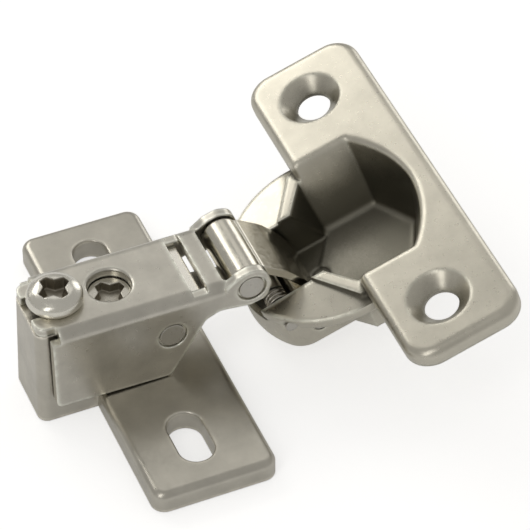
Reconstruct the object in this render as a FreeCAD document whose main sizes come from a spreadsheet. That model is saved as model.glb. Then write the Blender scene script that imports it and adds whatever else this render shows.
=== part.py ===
import FreeCAD, Part
import math
import os
import Sketcher
from FreeCAD import Placement, Rotation, Vector

# Concealed cabinet hinge for a 26 mm cup bore, shown partly open.
# Frame in mm: origin on the underside of the base plate, midway between its two slots,
# X from the plate towards the cup, Z up from the plate, Y along the plate.

os.makedirs("parts", exist_ok=True)
doc = FreeCAD.newDocument("ConcealedHinge")
sheet = doc.addObject("Spreadsheet::Sheet", "Dimensions")

# Driving dimensions: alias, value, meaning
DIMENSIONS = [
    ("plate_rear", 7.5, "slot line to the rear edge of the plate"),
    ("plate_front", 8.3, "slot line to the front edge of the plate"),
    ("plate_half_length", 23.7, "half the plate's length"),
    ("plate_thick", 2.8, "plate thickness"),
    ("plate_corner", 1.8, "upright corner radius of the plate"),
    ("plate_edge", 1.0, "top edge radius of the plate"),
    ("slot_pitch_half", 16.0, "centre of the plate to each slot"),
    ("slot_half_width", 2.2, "half the slot width"),
    ("slot_half_length", 4.05, "half the slot length over its round ends"),
    ("post_rear", 14.85, "slot line to the rear face of the post at its foot"),
    ("cheek_gap", 0.10, "gap from the foot of the post to each cheek"),
    ("post_draft", 0.42, "draft of the post over its height"),
    ("post_step", 7.3, "slot line to the step of the post"),
    ("post_front", 2.4, "slot line to the front face of the post"),
    ("post_gap", 0.03, "gap between the post's top and the arm's tongue"),
    ("post_low", 11.8, "top of the post under the adjusting screw"),
    ("arm_half_width", 5.84, "outer half width of the arm"),
    ("sheet", 1.15, "sheet thickness of the arm"),
    ("arm_top", 15.04, "top face of the arm"),
    ("arm_bend", 1.6, "outer bend radius of the arm"),
    ("arm_inner_bend", 0.45, "inner bend radius of the arm"),
    ("clamp_x", -10.6, "axis of the clamp screw"),
    ("adjust_x", -3.75, "axis of the adjusting screw"),
    ("screw_bore", 1.66, "bore for both screw shanks"),
    ("screw_shank", 1.6, "shank radius of both screws"),
    ("access_hole", 2.65, "radius of the hole above the adjusting screw"),
    ("clamp_slot", 1.9, "half width of the open slot under the clamp screw"),
    ("nose_x", 12.3, "nose pin, along X"),
    ("nose_z", 13.5, "nose pin, height"),
    ("rear_x", 2.0, "arm pin, along X"),
    ("rear_z", 9.5, "arm pin, height"),
    ("nose_pin_radius", 1.3, "shaft of the nose pin"),
    ("arm_pin_radius", 0.9, "shaft of the arm pin"),
    ("pin_head", 1.6, "flush head radius of both arm pins"),
    ("pin_seat", 1.86, "counterbore radius for the flush heads"),
    ("pin_head_depth", 0.5, "depth of the flush heads"),
    ("cup_pin_x", 20.17, "outer cup pin, along X"),
    ("cup_pin_z", 6.85, "outer cup pin, height"),
    ("inner_pin_x", 16.35, "inner cup pin, along X"),
    ("inner_pin_z", 7.91, "inner cup pin, height"),
    ("cup_pin_radius", 0.95, "outer cup pin radius"),
    ("inner_pin_radius", 0.8, "inner cup pin radius"),
    ("pivot_play", 0.05, "radial play of each link on its pin"),
    ("seat_play", 0.02, "radial play of each pin in its seat"),
    ("link_gap", 0.29, "gap from the outer link to each cheek"),
    ("inner_gap", 1.39, "gap from the inner link to each cheek"),
    ("neck_gap", 1.99, "gap from the inner link's neck to each cheek"),
    ("cup_x", 30.46, "middle of the flange holes, along X"),
    ("cup_z", 17.18, "middle of the flange holes, height"),
    ("cup_tilt", 18.2, "tilt of the flange in degrees"),
    ("flange_front", 6.74, "hole line to the link side of the flange"),
    ("flange_back", 8.34, "hole line to the far side of the flange"),
    ("flange_half_length", 26.3, "half the flange length"),
    ("flange_thick", 2.2, "flange thickness"),
    ("flange_corner", 3.5, "corner radius of the flange"),
    ("flange_edge", 1.1, "top edge radius of the flange"),
    ("flange_hole", 2.15, "screw hole radius in the flange"),
    ("flange_sink", 3.95, "countersink radius in the flange"),
    ("flange_pitch_half", 19.0, "hole line centre to each flange hole"),
    ("cup_centre", 7.2, "hole line to the centre of the round cup"),
    ("front_depth", 10.45, "depth of the cup's front block below the flange top"),
    ("cup_radius", 12.6, "radius of the round shoulders"),
    ("cup_body_radius", 12.4, "radius of the cup's front wall"),
    ("cup_depth", 9.4, "depth of the cup below the flange top"),
    ("pocket_depth", 8.5, "depth of the six sided pocket"),
    ("link_pocket_depth", 8.75, "depth of the pocket for the links"),
    ("link_pocket_half", 5.2, "half width of the pocket for the links"),
    ("rim_depth", 5.1, "depth of the front wall's rim"),
]
value = {}
for row, (alias, number, meaning) in enumerate(DIMENSIONS, start=1):
    sheet.set("A%d" % row, alias)
    sheet.set("B%d" % row, str(number))
    sheet.set("C%d" % row, meaning)
    sheet.setAlias("B%d" % row, alias)
    value[alias] = number
doc.recompute()
cheek_inner = value["arm_half_width"] - value["sheet"]
roof = value["arm_top"] - value["sheet"]
post_foot = cheek_inner - value["cheek_gap"]
post_head = post_foot - value["post_draft"]
post_high = roof - value["post_gap"]
link_half_width = cheek_inner - value["link_gap"]
inner_half_width = cheek_inner - value["inner_gap"]
neck_half_width = cheek_inner - value["neck_gap"]


def size(alias):
    return "Dimensions." + alias


def new_body(name):
    body = doc.addObject("PartDesign::Body", name)
    body.Label = name
    return body


def origin_plane(body, role):
    for feature in body.Origin.OriginFeatures:
        if feature.Role == role:
            return feature
    raise ValueError(role)


def new_sketch(body, name, role, offset=0.0):
    sketch = body.newObject("Sketcher::SketchObject", name)
    sketch.AttachmentSupport = [(origin_plane(body, role), "")]
    sketch.MapMode = "FlatFace"
    sketch.AttachmentOffset = Placement(Vector(0, 0, offset), Rotation())
    return sketch


def outline(sketch, points):
    """Closed outline through points (x, y, corner radius), each corner rounded by a tangent arc."""
    count = len(points)
    corners = []
    for i, point in enumerate(points):
        here = Vector(point[0], point[1], 0)
        before = Vector(points[i - 1][0], points[i - 1][1], 0)
        after = Vector(points[(i + 1) % count][0], points[(i + 1) % count][1], 0)
        radius = point[2] if len(point) > 2 else 0.0
        if radius <= 0:
            corners.append((here, None, here))
            continue
        to_before = (before - here).normalize()
        to_after = (after - here).normalize()
        half = to_before.getAngle(to_after) / 2.0
        reach = radius / math.tan(half)
        middle = here + (to_before + to_after).normalize() * (radius / math.sin(half) - radius)
        corners.append((here + to_before * reach, middle, here + to_after * reach))
    index = 0
    first = 0
    last = None
    for i in range(count):
        start, middle, end = corners[i]
        following = corners[(i + 1) % count][0]
        if middle is not None:
            sketch.addGeometry(Part.Arc(start, middle, end), False)
            if last is not None:
                sketch.addConstraint(Sketcher.Constraint("Block", index))
            last = index
            index += 1
        if (following - end).Length > 1e-6:
            sketch.addGeometry(Part.LineSegment(end, following), False)
            sketch.addConstraint(Sketcher.Constraint("Block", index))
            last = index
            index += 1
    return first


def disc(sketch, x, y, radius, alias=None):
    index = sketch.addGeometry(Part.Circle(Vector(x, y, 0), Vector(0, 0, 1), radius), False)
    row = sketch.addConstraint(Sketcher.Constraint("Radius", index, radius))
    if alias:
        sketch.setExpression("Constraints[%d]" % row, size(alias))
    sketch.addConstraint(Sketcher.Constraint("DistanceX", -1, 1, index, 3, x))
    sketch.addConstraint(Sketcher.Constraint("DistanceY", -1, 1, index, 3, y))
    return index


def pad(body, name, sketch, length, midplane=False, reverse=False, expression=None):
    feature = body.newObject("PartDesign::Pad", name)
    feature.Profile = sketch
    feature.Length = length
    if expression:
        feature.setExpression("Length", expression)
    feature.Midplane = midplane
    feature.Reversed = reverse
    sketch.Visibility = False
    return feature


def pocket(body, name, sketch, length, midplane=False, reverse=False, expression=None):
    feature = body.newObject("PartDesign::Pocket", name)
    feature.Profile = sketch
    feature.Length = length
    if expression:
        feature.setExpression("Length", expression)
    feature.Midplane = midplane
    feature.Reversed = reverse
    sketch.Visibility = False
    return feature


def fillet(body, name, base, edges, radius, alias=None):
    feature = body.newObject("PartDesign::Fillet", name)
    feature.Base = (base, edges)
    feature.Radius = radius
    if alias:
        feature.setExpression("Radius", size(alias))
    return feature


def edges_where(feature, test):
    doc.recompute()
    names = []
    for number, edge in enumerate(feature.Shape.Edges, start=1):
        if test(edge):
            names.append("Edge%d" % number)
    return names


def near(a, b, tolerance=0.01):
    return abs(a - b) < tolerance


def along(edge, axis):
    ends = edge.Vertexes
    if len(ends) < 2:
        return False
    step = ends[1].Point - ends[0].Point
    if step.Length < 1e-6:
        return False
    return abs(step.normalize().dot(axis)) > 0.9999 and edge.Curve.TypeId == "Part::GeomLine"


AXIS_X = Vector(1, 0, 0)
AXIS_Y = Vector(0, 1, 0)
AXIS_Z = Vector(0, 0, 1)
ACROSS = Rotation(AXIS_X, 90)


def cylinder(name, radius, height, placement, radius_alias=None):
    feature = doc.addObject("Part::Cylinder", name)
    feature.Radius = radius
    if radius_alias:
        feature.setExpression("Radius", size(radius_alias))
    feature.Height = height
    feature.Placement = placement
    return feature


# Base plate: one casting of plate, stem and stepped post
base = new_body("base_plate")
plate_sketch = new_sketch(base, "plate_outline", "XY_Plane")
half = value["plate_half_length"]
outline(plate_sketch, [
    (-value["plate_rear"], -half, value["plate_corner"]),
    (value["plate_front"], -half, value["plate_corner"]),
    (value["plate_front"], half, value["plate_corner"]),
    (-value["plate_rear"], half, value["plate_corner"]),
])
plate = pad(base, "plate", plate_sketch, value["plate_thick"], expression=size("plate_thick"))
top_edges = edges_where(plate, lambda e: all(near(v.Z, value["plate_thick"]) for v in e.Vertexes))
plate_soft = fillet(base, "plate_soft_edge", plate, top_edges, value["plate_edge"], "plate_edge")

# The post narrows towards its top, as a casting's draft
def post_section(name, height, inset, front, corner):
    sketch = new_sketch(base, name, "XY_Plane", height)
    wide = post_foot - inset
    outline(sketch, [
        (-value["post_rear"] + inset, -wide, corner),
        (-front, -wide, 0),
        (-front, wide, 0),
        (-value["post_rear"] + inset, wide, corner),
    ])
    return sketch


draft = value["post_draft"]
for name, height, front in (("post", post_high, value["post_step"]),
                            ("step", value["post_low"], value["post_front"])):
    inset = draft * height / post_high
    low = post_section(name + "_foot", 0.0, 0.0, front, 1.3)
    high = post_section(name + "_top", height, inset, front, 1.3)
    loft = base.newObject("PartDesign::AdditiveLoft", name + "_block")
    loft.Profile = low
    loft.Sections = [high]
    loft.Ruled = True

slot_sketch = new_sketch(base, "slot_outline", "XY_Plane", 5.0)
for side in (-1, 1):
    middle_y = side * value["slot_pitch_half"]
    reach = value["slot_half_length"]
    wide = value["slot_half_width"]
    outline(slot_sketch, [
        (-wide, middle_y - reach, wide - 0.0001),
        (wide, middle_y - reach, wide - 0.0001),
        (wide, middle_y + reach, wide - 0.0001),
        (-wide, middle_y + reach, wide - 0.0001),
    ])
slots = pocket(base, "slots", slot_sketch, 10.0)
slots.Type = "ThroughAll"
rim_edges = edges_where(slots, lambda e: all(near(v.Z, value["plate_thick"]) for v in e.Vertexes)
                        and all(abs(v.X) < 2.3 and 11 < abs(v.Y) < 21 for v in e.Vertexes))
slot_rims = fillet(base, "slot_rims", slots, rim_edges, 0.2)

bore_sketch = new_sketch(base, "screw_bores", "XY_Plane", 3.4)
disc(bore_sketch, value["clamp_x"], 0, value["screw_bore"], "screw_bore")
disc(bore_sketch, value["adjust_x"], 0, value["screw_bore"], "screw_bore")
bores = pocket(base, "bores", bore_sketch, 20.0, reverse=True)

# Arm: folded sheet with two cheeks, a rear tongue, an access hole and a window
arm = new_body("arm")
side_sketch = new_sketch(arm, "side_outline", "XZ_Plane")
top = value["arm_top"]
outline(side_sketch, [
    (-14.3, top, 0),
    (-14.3, top - value["sheet"], 0),
    (-13.0, top - value["sheet"] - 0.2, 0),
    (-13.0, 3.25, 0.7),
    (1.6, 2.95, 0.8),
    (3.66, 6.2, 0.8),
    (5.0, 8.5, 0.8),
    (6.3, 10.55, 1.2),
    (8.0, 11.3, 1.2),
    (9.9, 11.2, 0),
    (9.9, top, 0),
])
arm_block = pad(arm, "folded_block", side_sketch, 2 * value["arm_half_width"], midplane=True)
arm_block.setExpression("Length", "2 * " + size("arm_half_width"))
bend_edges = edges_where(arm_block, lambda e: along(e, AXIS_X) and near(e.Vertexes[0].Z, top))
arm_bends = fillet(arm, "outer_bends", arm_block, bend_edges, value["arm_bend"], "arm_bend")

nose_sketch = new_sketch(arm, "nose_outline", "XZ_Plane")
outline(nose_sketch, [
    (8.6, 11.3, 0),
    (12.1, 10.85, 1.8),
    (14.1, 11.4, 1.4),
    (14.9, 13.5, 1.8),
    (14.1, 15.9, 1.6),
    (12.3, 16.35, 1.8),
    (10.5, 15.75, 2.0),
    (8.9, 14.5, 0),
])
pad(arm, "nose", nose_sketch, 2 * value["arm_half_width"], midplane=True)
channel_sketch = new_sketch(arm, "channel_outline", "YZ_Plane")
inner = cheek_inner
outline(channel_sketch, [
    (-inner, -2.0, 0),
    (inner, -2.0, 0),
    (inner, top - value["sheet"], value["arm_inner_bend"]),
    (-inner, top - value["sheet"], value["arm_inner_bend"]),
])
pocket(arm, "channel", channel_sketch, 60.0, midplane=True)
open_sketch = new_sketch(arm, "open_outline", "XY_Plane", 20.0)
outline(open_sketch, [
    (9.0, -inner, 0.5),
    (20.0, -inner, 0),
    (20.0, inner, 0),
    (9.0, inner, 0.5),
])
disc(open_sketch, value["adjust_x"], 0, value["access_hole"], "access_hole")
pocket(arm, "openings", open_sketch, 12.0)
window_sketch = new_sketch(arm, "window_outline", "XY_Plane", 20.0)
outline(window_sketch, [
    (4.9, -4.35, 0.3),
    (6.85, -4.35, 0.3),
    (6.85, 4.35, 0.3),
    (4.9, 4.35, 0.3),
])
outline(window_sketch, [
    (-16.0, -value["clamp_slot"], 0),
    (-7.9, -value["clamp_slot"], 1.8),
    (-7.9, value["clamp_slot"], 1.8),
    (-16.0, value["clamp_slot"], 0),
])
pocket(arm, "window", window_sketch, 6.6)
dip_sketch = new_sketch(arm, "window_dip", "XZ_Plane")
outline(dip_sketch, [
    (4.9, 14.45, 0.25),
    (6.85, 14.45, 0.25),
    (6.85, 18.0, 0),
    (4.9, 18.0, 0),
])
pocket(arm, "window_ends", dip_sketch, 14.0, midplane=True)
notch_sketch = new_sketch(arm, "notch_outline", "XY_Plane", 20.0)
for side in (-1, 1):
    outline(notch_sketch, [
        (-16.0, side * 4.15, 0),
        (-12.0, side * 4.15, 0.3),
        (-12.0, side * 7.0, 0),
        (-16.0, side * 7.0, 0),
    ])
notch = pocket(arm, "bend_relief", notch_sketch, 6.4)
corners = edges_where(notch, lambda e: along(e, AXIS_Z) and near(e.Vertexes[0].X, -14.3)
                      and near(abs(e.Vertexes[0].Y), 4.15))
notch = fillet(arm, "tongue_corners", notch, corners, 1.15)
rim = edges_where(notch, lambda e: e.Curve.TypeId == "Part::GeomCircle"
                  and near(e.Curve.Radius, value["access_hole"])
                  and near(e.Curve.Center.z, top) and near(e.Curve.Center.x, value["adjust_x"]))
hole_rim = fillet(arm, "hole_rim", notch, rim, 0.35)
for name, half_span, ceiling in (("strip", 4.15, roof - 0.17), ("strip_feet", inner + 0.1, 13.25)):
    strip_sketch = new_sketch(arm, name + "_profile", "XZ_Plane")
    outline(strip_sketch, [
        (4.6, 12.75, 0.2),
        (6.45, 12.75, 0.2),
        (6.45, ceiling, 0.2),
        (4.6, ceiling, 0.2),
    ])
    pad(arm, name, strip_sketch, 2 * half_span, midplane=True)
pin_sketch = new_sketch(arm, "pin_holes", "XZ_Plane")
disc(pin_sketch, value["nose_x"], value["nose_z"], value["nose_pin_radius"] + value["seat_play"])
disc(pin_sketch, value["rear_x"], value["rear_z"], value["arm_pin_radius"] + value["seat_play"])
pocket(arm, "pin_bores", pin_sketch, 20.0, midplane=True)
for tag, sign in (("near", 1), ("far", -1)):
    seat_sketch = new_sketch(arm, "pin_seats_" + tag, "XZ_Plane", sign * value["arm_half_width"])
    disc(seat_sketch, value["nose_x"], value["nose_z"], value["pin_seat"], "pin_seat")
    disc(seat_sketch, value["rear_x"], value["rear_z"], value["pin_seat"], "pin_seat")
    pocket(arm, "seats_" + tag, seat_sketch, value["pin_head_depth"], reverse=(sign < 0),
           expression=size("pin_head_depth"))


# Screws: turned head and shank, cross recess
def screw(name, x, head_points, bottom, recess_top, recess_depth):
    body = new_body(name)
    profile = new_sketch(body, name + "_profile", "XZ_Plane")
    shank = value["screw_shank"]
    points = [(0, bottom, 0), (shank - 0.4, bottom, 0), (shank, bottom + 0.4, 0)]
    points += head_points
    outline(profile, points)
    turned = body.newObject("PartDesign::Revolution", name + "_turned")
    turned.Profile = profile
    turned.ReferenceAxis = (profile, ["V_Axis"])
    turned.Angle = 360.0
    profile.Visibility = False
    cross = new_sketch(body, name + "_cross", "XY_Plane", recess_top)
    arm_long = 2.05
    arm_wide = 0.5
    star = 0.95
    outline(cross, [
        (arm_long, -arm_wide, 0), (arm_long, arm_wide, 0), (star, star, 0),
        (arm_wide, arm_long, 0), (-arm_wide, arm_long, 0), (-star, star, 0),
        (-arm_long, arm_wide, 0), (-arm_long, -arm_wide, 0), (-star, -star, 0),
        (-arm_wide, -arm_long, 0), (arm_wide, -arm_long, 0), (star, -star, 0),
    ])
    recess = pocket(body, name + "_recess", cross, recess_depth)
    recess.TaperAngle = -16.0
    body.Placement = Placement(Vector(x, 0, 0), Rotation(AXIS_Z, 22.0))
    return body


shank_radius = value["screw_shank"]
clamp_seat = value["arm_top"] + 0.02
clamp = screw("clamp_screw", value["clamp_x"], [
    (shank_radius, clamp_seat, 0),
    (3.15, clamp_seat, 0.15),
    (3.5, clamp_seat + 0.55, 0.5),
    (3.35, clamp_seat + 1.55, 0.8),
    (2.2, clamp_seat + 2.25, 1.6),
    (0, clamp_seat + 2.3, 0),
], 4.4, clamp_seat + 2.3, 1.5)
adjust_seat = value["post_low"] + 0.15
adjust_face = roof - 0.17
adjust = screw("adjusting_screw", value["adjust_x"], [
    (shank_radius, adjust_seat, 0),
    (2.9, adjust_seat, 0.2),
    (2.9, adjust_face, 0.35),
    (0, adjust_face, 0),
], 4.4, adjust_face, 1.0)


# Pins across the arm: shaft with a flush head at each end
def headed_pin(name, x, z, shaft_alias):
    half_length = value["arm_half_width"]
    shaft = cylinder(name + "_shaft", value[shaft_alias], 2 * half_length - 0.3,
                     Placement(Vector(x, half_length - 0.15, z), ACROSS), shaft_alias)
    heads = []
    for tag, start in (("near", value["pin_head_depth"] - half_length - 0.02),
                       ("far", half_length - 0.12)):
        head = cylinder(name + "_head_" + tag, value["pin_head"], value["pin_head_depth"] - 0.14,
                        Placement(Vector(x, start, z), ACROSS), "pin_head")
        heads.append(head)
    joined = doc.addObject("Part::MultiFuse", name)
    joined.Shapes = [shaft] + heads
    joined.Label = name
    return joined


nose_pin = headed_pin("nose_pin", value["nose_x"], value["nose_z"], "nose_pin_radius")
arm_pin = headed_pin("arm_pin", value["rear_x"], value["rear_z"], "arm_pin_radius")

# Outer link: bent sheet rolled round the nose pin and the outer cup pin
outer = new_body("outer_link")
outer_sketch = new_sketch(outer, "link_side", "XZ_Plane")
outline(outer_sketch, [
    (12.9, 15.2, 0),
    (14.35, 15.1, 0.5),
    (17.6, 13.0, 6.0),
    (19.95, 10.55, 4.0),
    (21.76, 7.8, 0),
    (20.92, 7.25, 0),
    (19.05, 10.1, 3.2),
    (17.0, 12.15, 5.0),
    (14.3, 13.9, 0.6),
    (12.9, 13.9, 0),
])
pad(outer, "link_sheet", outer_sketch, 2 * link_half_width, midplane=True)
barrel_sketch = new_sketch(outer, "barrels", "XZ_Plane")
disc(barrel_sketch, value["nose_x"], value["nose_z"], 2.4)
disc(barrel_sketch, value["cup_pin_x"], value["cup_pin_z"], 1.85)
pad(outer, "link_barrels", barrel_sketch, 2 * link_half_width, midplane=True)
outer_bores = new_sketch(outer, "link_bores", "XZ_Plane")
disc(outer_bores, value["nose_x"], value["nose_z"], value["nose_pin_radius"] + value["pivot_play"])
disc(outer_bores, value["cup_pin_x"], value["cup_pin_z"], value["cup_pin_radius"] + value["pivot_play"])
pocket(outer, "link_bored", outer_bores, 20.0, midplane=True)

# Inner link: sheet between the arm pin and the inner cup pin
inner_link = new_body("inner_link")
inner_sketch = new_sketch(inner_link, "inner_side", "XZ_Plane")
rear_pivot = Vector(value["rear_x"], value["rear_z"], 0)
front_pivot = Vector(value["inner_pin_x"], value["inner_pin_z"], 0)
run = (front_pivot - rear_pivot).normalize()
rise = Vector(-run.y, run.x, 0)
span = (front_pivot - rear_pivot).Length


def on_link(distance, height, corner=0.0):
    point = rear_pivot + run * distance + rise * height
    return (point.x, point.y, corner)


outline(inner_sketch, [
    on_link(1.6, 0.0), on_link(span - 3.4, 0.0), on_link(span - 3.4, 0.75), on_link(1.6, 0.75),
])
pad(inner_link, "inner_sheet", inner_sketch, 2 * inner_half_width, midplane=True)
eye_sketch = new_sketch(inner_link, "eye", "XZ_Plane")
disc(eye_sketch, value["rear_x"], value["rear_z"], 2.8)
pad(inner_link, "eye_barrel", eye_sketch, 2 * inner_half_width, midplane=True)
neck_sketch = new_sketch(inner_link, "neck", "XZ_Plane")
outline(neck_sketch, [
    on_link(span - 4.4, 0.0), on_link(span, 0.0), on_link(span, 0.75), on_link(span - 4.4, 0.75),
])
pad(inner_link, "neck_sheet", neck_sketch, 2 * neck_half_width, midplane=True)
tip_sketch = new_sketch(inner_link, "tip", "XZ_Plane")
disc(tip_sketch, value["inner_pin_x"], value["inner_pin_z"], 1.4)
pad(inner_link, "tip_barrel", tip_sketch, 2 * neck_half_width, midplane=True)
inner_bores = new_sketch(inner_link, "inner_bores", "XZ_Plane")
disc(inner_bores, value["rear_x"], value["rear_z"], 2.25)
disc(inner_bores, value["inner_pin_x"], value["inner_pin_z"],
     value["inner_pin_radius"] + value["pivot_play"])
pocket(inner_link, "inner_bored", inner_bores, 20.0, midplane=True)

# Cup: casting of flange, round shoulders, six sided pocket and link pocket
TILT = Rotation(AXIS_Y, -value["cup_tilt"])
CUP_PLACE = Placement(Vector(value["cup_x"], 0, value["cup_z"]), TILT)


def cup_local(x, z):
    point = CUP_PLACE.inverse().multVec(Vector(x, 0, z))
    return point.x, point.z


cup = new_body("cup")
cup_x0 = -value["cup_centre"]
shoulder_sketch = new_sketch(cup, "shoulder_profile", "XZ_Plane")
radius = value["cup_radius"]
outline(shoulder_sketch, [
    (cup_x0, -2.2, 0),
    (cup_x0 + 5.0, -2.35, 0),
    (cup_x0 + radius, -2.9, 0),
    (cup_x0 + radius, -4.6, 0.5),
    (cup_x0, -4.6, 0),
])
axis_line = shoulder_sketch.addGeometry(
    Part.LineSegment(Vector(cup_x0, -20, 0), Vector(cup_x0, 20, 0)), True)
shoulder_sketch.addConstraint(Sketcher.Constraint("Block", axis_line))
shoulders = cup.newObject("PartDesign::Revolution", "shoulders")
shoulders.Profile = shoulder_sketch
shoulders.ReferenceAxis = (shoulder_sketch, ["Axis0"])
shoulders.Angle = 360.0

body_sketch = new_sketch(cup, "front_body", "XY_Plane", -4.0)
body_r = value["cup_body_radius"]
side = 8.5
corner_r = 3.7
turn = math.asin((side - corner_r) / (body_r - corner_r))
corner_x = cup_x0 - (body_r - corner_r) * math.cos(turn)
arc_end = Vector(cup_x0 - body_r * math.cos(turn), -body_r * math.sin(turn), 0)
half_turn = (math.pi / 2 - turn) / 2
corner_low = Vector(corner_x, -side, 0)
corner_mid = Vector(corner_x - corner_r * math.sin(half_turn),
                    corner_r - side - corner_r * math.cos(half_turn), 0)
body_points = [corner_low, Vector(-9.2, -side, 0), Vector(-6.0, -5.0, 0), Vector(-6.0, 5.0, 0),
               Vector(-9.2, side, 0), Vector(corner_low.x, side, 0)]
body_sketch.addGeometry([Part.LineSegment(a, b) for a, b in zip(body_points, body_points[1:])], False)
body_sketch.addGeometry([
    Part.Arc(corner_low, corner_mid, arc_end),
    Part.Arc(arc_end, Vector(cup_x0 - body_r, 0, 0), Vector(arc_end.x, -arc_end.y, 0)),
    Part.Arc(Vector(arc_end.x, -arc_end.y, 0), Vector(corner_mid.x, -corner_mid.y, 0), body_points[5]),
], False)
for number in range(8):
    body_sketch.addConstraint(Sketcher.Constraint("Block", number))
front = pad(cup, "front_block", body_sketch, value["front_depth"] - 4.0, reverse=True)
low_edges = edges_where(front, lambda e: all(near(v.Z, -value["front_depth"]) for v in e.Vertexes)
                        and all(v.X < -6.5 for v in e.Vertexes))
front_soft = fillet(cup, "front_soft", front, low_edges, 1.9)


def six_sides(sketch, back_point, rear_x, front_x, half_width, front_point):
    outline(sketch, [
        (front_point, 0, 0),
        (front_x, -half_width, 0),
        (rear_x, -half_width, 0),
        (back_point, 0, 0),
        (rear_x, half_width, 0),
        (front_x, half_width, 0),
    ])


wall_top = new_sketch(cup, "pocket_wall_top", "XY_Plane", -2.0)
six_sides(wall_top, 6.1, 1.9, -7.4, 11.2, -15.0)
wall_low = new_sketch(cup, "pocket_wall_low", "XY_Plane", -value["cup_depth"])
six_sides(wall_low, 4.9, 0.4, -7.2, 10.9, -15.2)
walls = cup.newObject("PartDesign::AdditiveLoft", "pocket_walls")
walls.Profile = wall_low
walls.Sections = [wall_top]
walls.Ruled = True

flange_sketch = new_sketch(cup, "flange_outline", "XY_Plane")
corner = value["flange_corner"]
long = value["flange_half_length"]
outline(flange_sketch, [
    (-value["flange_front"], -long, corner),
    (value["flange_back"], -long, corner),
    (value["flange_back"], long, corner),
    (-value["flange_front"], long, corner),
])
flange = pad(cup, "flange", flange_sketch, value["flange_thick"], reverse=True,
             expression=size("flange_thick"))
flange_edges = edges_where(flange, lambda e: all(near(v.Z, 0.0) for v in e.Vertexes))
flange_soft = fillet(cup, "flange_soft", flange, flange_edges, value["flange_edge"], "flange_edge")

hex_top = new_sketch(cup, "pocket_mouth", "XY_Plane", 0.0)
mouth_points = [Vector(-14.7, 0, 0), Vector(-6.9, -10.3, 0), Vector(0.9, -10.3, 0),
                Vector(5.1, 0, 0), Vector(0.9, 10.3, 0), Vector(-6.9, 10.3, 0)]
bulges = {2: Vector(4.15, -5.15, 0), 3: Vector(4.15, 5.15, 0)}
for number, start in enumerate(mouth_points):
    end = mouth_points[(number + 1) % 6]
    if number in bulges:
        hex_top.addGeometry(Part.Arc(start, bulges[number], end), False)
    else:
        hex_top.addGeometry(Part.LineSegment(start, end), False)
    hex_top.addConstraint(Sketcher.Constraint("Block", number))
hex_low = new_sketch(cup, "pocket_floor", "XY_Plane", -value["pocket_depth"])
six_sides(hex_low, 3.75, 0.6, -6.4, 5.85, -10.2)
hollow = cup.newObject("PartDesign::SubtractiveLoft", "pocket")
hollow.Profile = hex_low
hollow.Sections = [hex_top]
hollow.Ruled = True

floor_edges = edges_where(hollow, lambda e: all(near(v.Z, -value["pocket_depth"]) for v in e.Vertexes))
floor_soft = fillet(cup, "pocket_floor_soft", hollow, floor_edges, 0.8)

link_sketch = new_sketch(cup, "link_pocket_outline", "XY_Plane", 4.0)
wall_r = 11.6
link_half = value["link_pocket_half"]
link_reach = math.sqrt(wall_r ** 2 - link_half ** 2)
link_sketch.addGeometry(Part.Arc(Vector(cup_x0 - link_reach, link_half, 0),
                                 Vector(cup_x0 - wall_r, 0, 0),
                                 Vector(cup_x0 - link_reach, -link_half, 0)), False)
link_sketch.addGeometry(Part.LineSegment(Vector(cup_x0 - link_reach, -link_half, 0),
                                         Vector(-6.6, -link_half, 0)), False)
link_sketch.addGeometry(Part.LineSegment(Vector(-6.6, -link_half, 0), Vector(-10.2, 0, 0)), False)
link_sketch.addGeometry(Part.LineSegment(Vector(-10.2, 0, 0), Vector(-6.6, link_half, 0)), False)
link_sketch.addGeometry(Part.LineSegment(Vector(-6.6, link_half, 0),
                                         Vector(cup_x0 - link_reach, link_half, 0)), False)
for number in range(5):
    link_sketch.addConstraint(Sketcher.Constraint("Block", number))
link_hollow = pocket(cup, "link_pocket", link_sketch, 4.0 + value["link_pocket_depth"])
mouth_sketch = new_sketch(cup, "front_mouth", "XY_Plane", 4.0)
outline(mouth_sketch, [
    (-22.0, -link_half, 0),
    (-12.0, -link_half, 0),
    (-12.0, link_half, 0),
    (-22.0, link_half, 0),
])
mouth = pocket(cup, "front_opening", mouth_sketch, 4.0 + value["rim_depth"])

mouth_edges = edges_where(mouth, lambda e: all(near(v.Z, 0.0) for v in e.Vertexes)
                          and all(-6.75 < v.X < 5.2 and abs(v.Y) < 10.4 for v in e.Vertexes))
mouth_rim = fillet(cup, "mouth_rim", mouth, mouth_edges, 0.8)

# Flange holes, see-through hole and pin bores
hole_sketch = new_sketch(cup, "flange_holes", "XY_Plane", 4.0)
disc(hole_sketch, 0, value["flange_pitch_half"], value["flange_hole"], "flange_hole")
disc(hole_sketch, 0, -value["flange_pitch_half"], value["flange_hole"], "flange_hole")
disc(hole_sketch, -9.8, 0, 1.2)
pocket(cup, "holes", hole_sketch, 20.0)
sink_sketch = new_sketch(cup, "countersinks", "XY_Plane")
disc(sink_sketch, 0, value["flange_pitch_half"], value["flange_sink"], "flange_sink")
disc(sink_sketch, 0, -value["flange_pitch_half"], value["flange_sink"], "flange_sink")
sinks = pocket(cup, "sinks", sink_sketch, value["flange_thick"] - 0.35)
sinks.TaperAngle = -46.0
outer_u, outer_n = cup_local(value["cup_pin_x"], value["cup_pin_z"])
inner_u, inner_n = cup_local(value["inner_pin_x"], value["inner_pin_z"])
cup_pin_sketch = new_sketch(cup, "cup_pin_bores", "XZ_Plane")
disc(cup_pin_sketch, outer_u, outer_n, value["cup_pin_radius"] + value["seat_play"])
disc(cup_pin_sketch, inner_u, inner_n, value["inner_pin_radius"] + value["seat_play"])
pocket(cup, "cup_pins_bored", cup_pin_sketch, 40.0, midplane=True)
cup.Placement = CUP_PLACE

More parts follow.
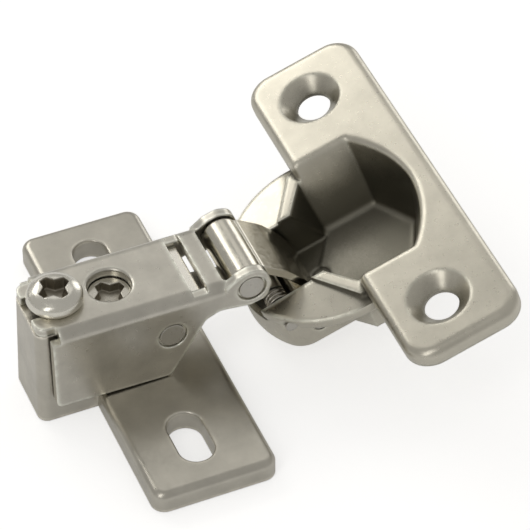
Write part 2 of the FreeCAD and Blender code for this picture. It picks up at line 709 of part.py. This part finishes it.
# Pins across the cup
cup_pin_outer = cylinder("cup_pin_outer", value["cup_pin_radius"], 16.9,
                         Placement(Vector(value["cup_pin_x"], 8.45, value["cup_pin_z"]), ACROSS),
                         "cup_pin_radius")
cup_pin_outer.Label = "cup_pin_outer"
cup_pin_inner = cylinder("cup_pin_inner", value["inner_pin_radius"], 16.9,
                         Placement(Vector(value["inner_pin_x"], 8.45, value["inner_pin_z"]), ACROSS),
                         "inner_pin_radius")
cup_pin_inner.Label = "cup_pin_inner"

# Spring: wire coil on the inner cup pin with one leg towards each pocket end
WIRE = 0.27
COIL = 1.22
helix = doc.addObject("Part::Helix", "coil_path")
helix.Pitch = 0.58
helix.Height = 1.74
helix.Radius = COIL
helix.Placement = Placement(Vector(value["inner_pin_x"], -3.12, value["inner_pin_z"]), ACROSS)
section = doc.addObject("Part::Circle", "coil_section")
section.Radius = WIRE
section.Placement = Placement(Vector(value["inner_pin_x"] + COIL, -3.12, value["inner_pin_z"]),
                              Rotation())
coil = doc.addObject("Part::Sweep", "coil")
coil.Sections = [section]
coil.Spine = (helix, ["Edge1"])
coil.Solid = True
coil.Frenet = True
lower_leg = cylinder("lower_leg", WIRE, 2.6,
                     Placement(Vector(value["inner_pin_x"] + COIL, -3.12, value["inner_pin_z"]),
                               Rotation(AXIS_X, 180)))
spring = doc.addObject("Part::MultiFuse", "spring")
spring.Shapes = [coil, lower_leg]
spring.Label = "spring"

doc.recompute()

NODES = [base, arm, clamp, adjust, nose_pin, arm_pin, outer, inner_link, cup,
         cup_pin_outer, cup_pin_inner, spring]
for item in doc.Objects:
    if "Invalid" in item.State or "Error" in item.State:
        raise RuntimeError("%s %s" % (item.Name, item.State))
triangles = 0
for node in NODES:
    shape = node.Shape
    if shape.isNull() or not shape.isValid() or len(shape.Solids) != 1:
        raise RuntimeError("%s solids %d" % (node.Label, len(shape.Solids)))
    shape.exportStep("parts/%s.step" % node.Label)
    facets = shape.tessellate(0.05)
    triangles += len(facets[1])
    box = shape.BoundBox
    print(node.Label, round(shape.Volume, 2), [round(v, 2) for v in (
        box.XMin, box.XMax, box.YMin, box.YMax, box.ZMin, box.ZMax)])
print("triangles", triangles)
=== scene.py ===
import math

import bpy
from mathutils import Matrix, Vector

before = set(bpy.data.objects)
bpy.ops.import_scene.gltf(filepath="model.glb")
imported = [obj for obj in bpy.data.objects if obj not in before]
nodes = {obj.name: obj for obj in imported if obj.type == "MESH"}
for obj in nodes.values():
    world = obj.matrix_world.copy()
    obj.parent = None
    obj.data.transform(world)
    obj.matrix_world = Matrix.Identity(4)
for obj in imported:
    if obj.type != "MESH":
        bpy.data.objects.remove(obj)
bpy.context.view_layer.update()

MM = 0.001


# Shader helpers

def new_material(name):
    mat = bpy.data.materials.new(name)
    mat.use_nodes = True
    nt = mat.node_tree
    return mat, nt, nt.nodes["Principled BSDF"]


def computed(nt, operation, *values):
    """The result of a math node; each value may be a socket or a number."""
    node = nt.nodes.new("ShaderNodeMath")
    node.operation = operation
    for slot, value in zip(node.inputs, values):
        if isinstance(value, (int, float)):
            slot.default_value = value
        else:
            nt.links.new(value, slot)
    return node.outputs["Value"]


def ranged(nt, source, low, high, out_low, out_high):
    """A clamped linear map of one socket's value."""
    node = nt.nodes.new("ShaderNodeMapRange")
    node.inputs["From Min"].default_value = low
    node.inputs["From Max"].default_value = high
    node.inputs["To Min"].default_value = out_low
    node.inputs["To Max"].default_value = out_high
    nt.links.new(source, node.inputs["Value"])
    return node.outputs["Result"]


def noise(nt, coord, scale, detail, roughness=0.5):
    node = nt.nodes.new("ShaderNodeTexNoise")
    node.inputs["Scale"].default_value = scale
    node.inputs["Detail"].default_value = detail
    node.inputs["Roughness"].default_value = roughness
    nt.links.new(coord, node.inputs["Vector"])
    return node.outputs["Fac"]


def blended(nt, factor, first, second):
    """A colour between two others; each may be a socket or three numbers."""
    node = nt.nodes.new("ShaderNodeMix")
    node.data_type = "RGBA"
    for slot, value in (("A", first), ("B", second)):
        if isinstance(value, tuple):
            node.inputs[slot].default_value = (*value, 1)
        else:
            nt.links.new(value, node.inputs[slot])
    nt.links.new(factor, node.inputs["Factor"])
    return node.outputs["Result"]


def rounded_normal(nt, radius, samples):
    """The surface's normal, turned near an edge as if that edge were rounded."""
    node = nt.nodes.new("ShaderNodeBevel")
    node.samples = samples
    node.inputs["Radius"].default_value = radius
    return node.outputs["Normal"]


def worn_and_highlit_edges(nt, coord, amount):
    """A mask that grows from 0 to the amount at sharp edges, broken up by noise: edges worn by
    handling, and a painted highlight along them.
    """
    facing = nt.nodes.new("ShaderNodeVectorMath")
    facing.operation = "DOT_PRODUCT"
    nt.links.new(rounded_normal(nt, WEAR_AND_HIGHLIGHT_REACH, WEAR_AND_HIGHLIGHT_SAMPLES), facing.inputs[0])
    geometry = nt.nodes.new("ShaderNodeNewGeometry")
    nt.links.new(geometry.outputs["Normal"], facing.inputs[1])
    at_edge = ranged(nt, facing.outputs["Value"], 0.88, 0.992, amount, 0.0)
    patches = ranged(nt, noise(nt, coord, WEAR_AND_HIGHLIGHT_SCALE, 2.0), 0.35, 0.6, 0.35, 1.0)
    return computed(nt, "MULTIPLY", at_edge, patches)


def painted_hollow_shade(reach, open_level, closed_level):
    """A mask maker for painted shade: from 0 to 1 where the piece's own walls, within the
    reach, close it in.
    """
    def make(nt, coord):
        shade = nt.nodes.new("ShaderNodeAmbientOcclusion")
        shade.samples = 16
        shade.only_local = True
        shade.inputs["Distance"].default_value = reach
        return ranged(nt, shade.outputs["AO"], closed_level, open_level, 1.0, 0.0)
    return make


def inside_channel(half_span, ceiling, soft=0.1 * MM):
    """A mask maker: 1 between the arm's cheeks and below its roof, where the strip lies, for
    its painted highlight.
    """
    def make(nt, coord):
        parts = nt.nodes.new("ShaderNodeSeparateXYZ")
        nt.links.new(coord, parts.inputs[0])
        side = computed(nt, "ABSOLUTE", parts.outputs["Y"])
        within = ranged(nt, side, half_span, half_span + soft, 1.0, 0.0)
        below = ranged(nt, parts.outputs["Z"], ceiling - soft, ceiling, 1.0, 0.0)
        return computed(nt, "MULTIPLY", within, below)
    return make


# Finishes: plated metals, lengths in metres and scales in turns per metre

# Edge brightening: partly worn by handling, partly a painted highlight along sharp edges
WEAR_AND_HIGHLIGHT_REACH = 1.1 * MM
WEAR_AND_HIGHLIGHT_SAMPLES = 8
WEAR_AND_HIGHLIGHT_SCALE = 900.0
WEAR_AND_HIGHLIGHT_GAIN = 1.7
EDGE_SAMPLES = 6
GRAIN_DEPTH = 0.1 * MM


def plated(name, colour, rough, grain, bump, rough_span=0.06, tint=0.07, cloud=140.0,
           edge=0.22 * MM, wear_and_highlight=0.0, region=None):
    """Plated metal: cloudy colour, fine grain in roughness and bump, edges that catch light.

    The edge brightening, from 0 to 1, lightens sharp edges unevenly: partly worn by handling,
    partly a painted highlight.
    region is (mask maker, colour, added roughness) for a part painted in another colour:
    painted shade in the cup's pocket and in screw recesses, a painted highlight on the arm's
    strip.
    """
    mat, nt, bsdf = new_material(name)
    coord = nt.nodes.new("ShaderNodeTexCoord").outputs["Object"]
    clouds = ranged(nt, noise(nt, coord, cloud, 5.0, 0.6), 0.3, 0.7, 0.0, 1.0)
    pale = tuple(min(1.0, c * (1 + tint)) for c in colour)
    dull = tuple(c * (1 - tint) for c in colour)
    tone = blended(nt, clouds, dull, pale)
    fine = noise(nt, coord, grain, 3.0)
    roughness = ranged(nt, fine, 0.3, 0.7, rough - rough_span, rough + rough_span)
    # Sharp edges lightened: partly worn by handling, partly a painted highlight
    if wear_and_highlight:
        polished_and_highlit = tuple(min(1.0, c * WEAR_AND_HIGHLIGHT_GAIN) for c in colour)
        tone = blended(nt, worn_and_highlit_edges(nt, coord, wear_and_highlight), tone, polished_and_highlit)
    if region:
        make_mask, region_colour, region_rough = region
        mask = make_mask(nt, coord)
        tone = blended(nt, mask, tone, region_colour)
        roughness = computed(nt, "MULTIPLY_ADD", mask, region_rough, roughness)
    relief = nt.nodes.new("ShaderNodeBump")
    relief.inputs["Strength"].default_value = bump
    relief.inputs["Distance"].default_value = GRAIN_DEPTH
    nt.links.new(fine, relief.inputs["Height"])
    nt.links.new(rounded_normal(nt, edge, EDGE_SAMPLES), relief.inputs["Normal"])
    bsdf.inputs["Metallic"].default_value = 1.0
    nt.links.new(tone, bsdf.inputs["Base Color"])
    nt.links.new(roughness, bsdf.inputs["Roughness"])
    nt.links.new(relief.outputs["Normal"], bsdf.inputs["Normal"])
    return mat


# Painted shade: the cup's pocket is painted dark where its own walls close it in
POCKET_PAINTED_SHADE = (painted_hollow_shade(15 * MM, 0.80, 0.69), (0.20, 0.19, 0.155), 0.08)
# Painted shade: the screw heads' recesses are painted darker where their walls close them in
RECESS_PAINTED_SHADE = (painted_hollow_shade(3 * MM, 0.85, 0.60), (0.33, 0.305, 0.255), 0.10)
# Painted highlight: the strip inside the arm's channel is painted near white and made
# glossier, as if lit
STRIP_PAINTED_HIGHLIGHT = (inside_channel(4.2 * MM, 13.85 * MM), (0.97, 0.94, 0.86), -0.04)

CAST = plated("cast_nickel_satin", (0.57, 0.545, 0.48), 0.31, grain=1800.0, bump=0.02,
              rough_span=0.035, tint=0.09, cloud=260.0, edge=0.3 * MM, wear_and_highlight=0.8)
CUP = plated("cup_nickel_satin", (0.63, 0.60, 0.515), 0.29, grain=1800.0, bump=0.006,
             rough_span=0.02, tint=0.09, cloud=220.0, edge=0.8 * MM, wear_and_highlight=0.6, region=POCKET_PAINTED_SHADE)
SHEET = plated("sheet_nickel", (0.62, 0.595, 0.53), 0.30, grain=1400.0, bump=0.004,
               rough_span=0.03, tint=0.10, cloud=320.0, edge=0.3 * MM, wear_and_highlight=0.9, region=STRIP_PAINTED_HIGHLIGHT)
LINK = plated("link_nickel", (0.70, 0.67, 0.59), 0.20, grain=1800.0, bump=0.006)
# Painted shade: the inner link is a darker copy of the link nickel, for its place in shadow
# under the outer link
SHADED_LINK = plated("inner_link_nickel", (0.42, 0.40, 0.35), 0.32, grain=1800.0, bump=0.01)
SCREW = plated("screw_bright", (0.80, 0.775, 0.70), 0.23, grain=2000.0, bump=0.008,
               edge=0.3 * MM, region=RECESS_PAINTED_SHADE)
ADJUSTER = plated("adjuster_bright", (0.62, 0.595, 0.53), 0.24, grain=2000.0, bump=0.008,
                  region=RECESS_PAINTED_SHADE)
PIN = plated("pin_steel", (0.60, 0.58, 0.53), 0.32, grain=3000.0, bump=0.015)
WIRE = plated("wire_steel", (0.58, 0.55, 0.49), 0.22, grain=3000.0, bump=0.01, edge=0.1 * MM)

FINISH = {
    "base_plate": CAST,
    "arm": SHEET,
    "clamp_screw": SCREW,
    "adjusting_screw": ADJUSTER,
    "nose_pin": PIN,
    "arm_pin": PIN,
    "outer_link": LINK,
    "inner_link": SHADED_LINK,
    "cup": CUP,
    "cup_pin_outer": PIN,
    "cup_pin_inner": PIN,
    "spring": WIRE,
}
for name, mat in FINISH.items():
    materials = nodes[name].data.materials
    materials.clear()
    materials.append(mat)


# Floor: plain and pale; the camera sees it white, with the object's soft shadow on it

FLOOR_SIZE = 6.0
FLOOR_DROP = 0.2 * MM
FLOOR_GREY = 0.80
SEEN_BY_CAMERA = 0.58
SEEN_IN_METAL = 0.16

mat, nt, bsdf = new_material("floor_white")
path = nt.nodes.new("ShaderNodeLightPath")
camera_part = computed(nt, "MULTIPLY", path.outputs["Is Camera Ray"], SEEN_BY_CAMERA)
metal_part = computed(nt, "MULTIPLY", path.outputs["Is Glossy Ray"], SEEN_IN_METAL)
bsdf.inputs["Base Color"].default_value = (FLOOR_GREY, FLOOR_GREY, FLOOR_GREY, 1)
bsdf.inputs["Roughness"].default_value = 0.9
bsdf.inputs["Specular IOR Level"].default_value = 0.0
bsdf.inputs["Emission Color"].default_value = (1, 1, 1, 1)
nt.links.new(computed(nt, "ADD", camera_part, metal_part), bsdf.inputs["Emission Strength"])

bpy.ops.mesh.primitive_plane_add(size=FLOOR_SIZE, location=(0.3, 0.5, -FLOOR_DROP))
floor = bpy.context.object
floor.name = "floor"
floor.data.materials.append(mat)


# Light: an even, slightly warm studio and four soft lamps

world = bpy.data.worlds.new("studio")
bpy.context.scene.world = world
world.use_nodes = True
background = world.node_tree.nodes["Background"]
background.inputs["Color"].default_value = (1.0, 0.985, 0.95, 1)
background.inputs["Strength"].default_value = 0.42

LAMP_TARGET = Vector((0.012, 0, 0.01))


def softbox(name, direction, distance, width, height, radiance, colour):
    """A soft rectangular light aimed at the object, given by its brightness."""
    where = LAMP_TARGET + Vector(direction).normalized() * distance
    data = bpy.data.lights.new(name, "AREA")
    data.shape = "RECTANGLE"
    data.size = width
    data.size_y = height
    data.energy = radiance * math.pi * width * height
    data.color = colour
    obj = bpy.data.objects.new(name, data)
    bpy.context.scene.collection.objects.link(obj)
    obj.location = where
    obj.rotation_euler = (LAMP_TARGET - where).to_track_quat("-Z", "Y").to_euler()


softbox("back_light", (-0.22, 0.78, 0.58), 0.6, 0.34, 0.20, 2.3, (1.0, 0.98, 0.935))
softbox("top_light", (0.34, 0.52, 0.78), 0.7, 0.40, 0.30, 0.35, (1.0, 0.985, 0.95))
softbox("front_light", (-0.75, -0.55, 0.75), 0.6, 0.14, 0.50, 2.0, (1.0, 0.985, 0.96))
softbox("side_light", (0.78, 0.62, 0.28), 0.6, 0.20, 0.25, 1.4, (1.0, 0.99, 0.97))


# Camera at the photograph's angle; its picture is a square, measured in pixels

PICTURE = 530.0
FOCAL = 3269.7
CENTRE_X, CENTRE_Y = 268.2, 324.7
SENSOR = 36.0
AIM = Vector((16.737, 0, 0)) * MM
DISTANCE = 405.19 * MM
ROLL = math.radians(-0.375)

back = Vector((-0.2678, -0.6449, 0.7159)).normalized()
level = Vector((0.9236, -0.3835, 0.0)).normalized()
rise = back.cross(level).normalized()
right = level * math.cos(ROLL) + rise * math.sin(ROLL)
up = rise * math.cos(ROLL) - level * math.sin(ROLL)
place = AIM + back * DISTANCE

data = bpy.data.cameras.new("camera")
data.sensor_fit = "HORIZONTAL"
data.sensor_width = SENSOR
data.lens = FOCAL / PICTURE * SENSOR
data.shift_x = (PICTURE / 2 - CENTRE_X) / PICTURE
data.shift_y = (CENTRE_Y - PICTURE / 2) / PICTURE
data.clip_start = 0.01
data.clip_end = 50.0
cam = bpy.data.objects.new("camera", data)
cam.matrix_world = Matrix((
    (right.x, up.x, back.x, place.x),
    (right.y, up.y, back.y, place.y),
    (right.z, up.z, back.z, place.z),
    (0, 0, 0, 1),
))
scene = bpy.context.scene
scene.collection.objects.link(cam)
scene.camera = cam
scene.view_settings.view_transform = "Standard"
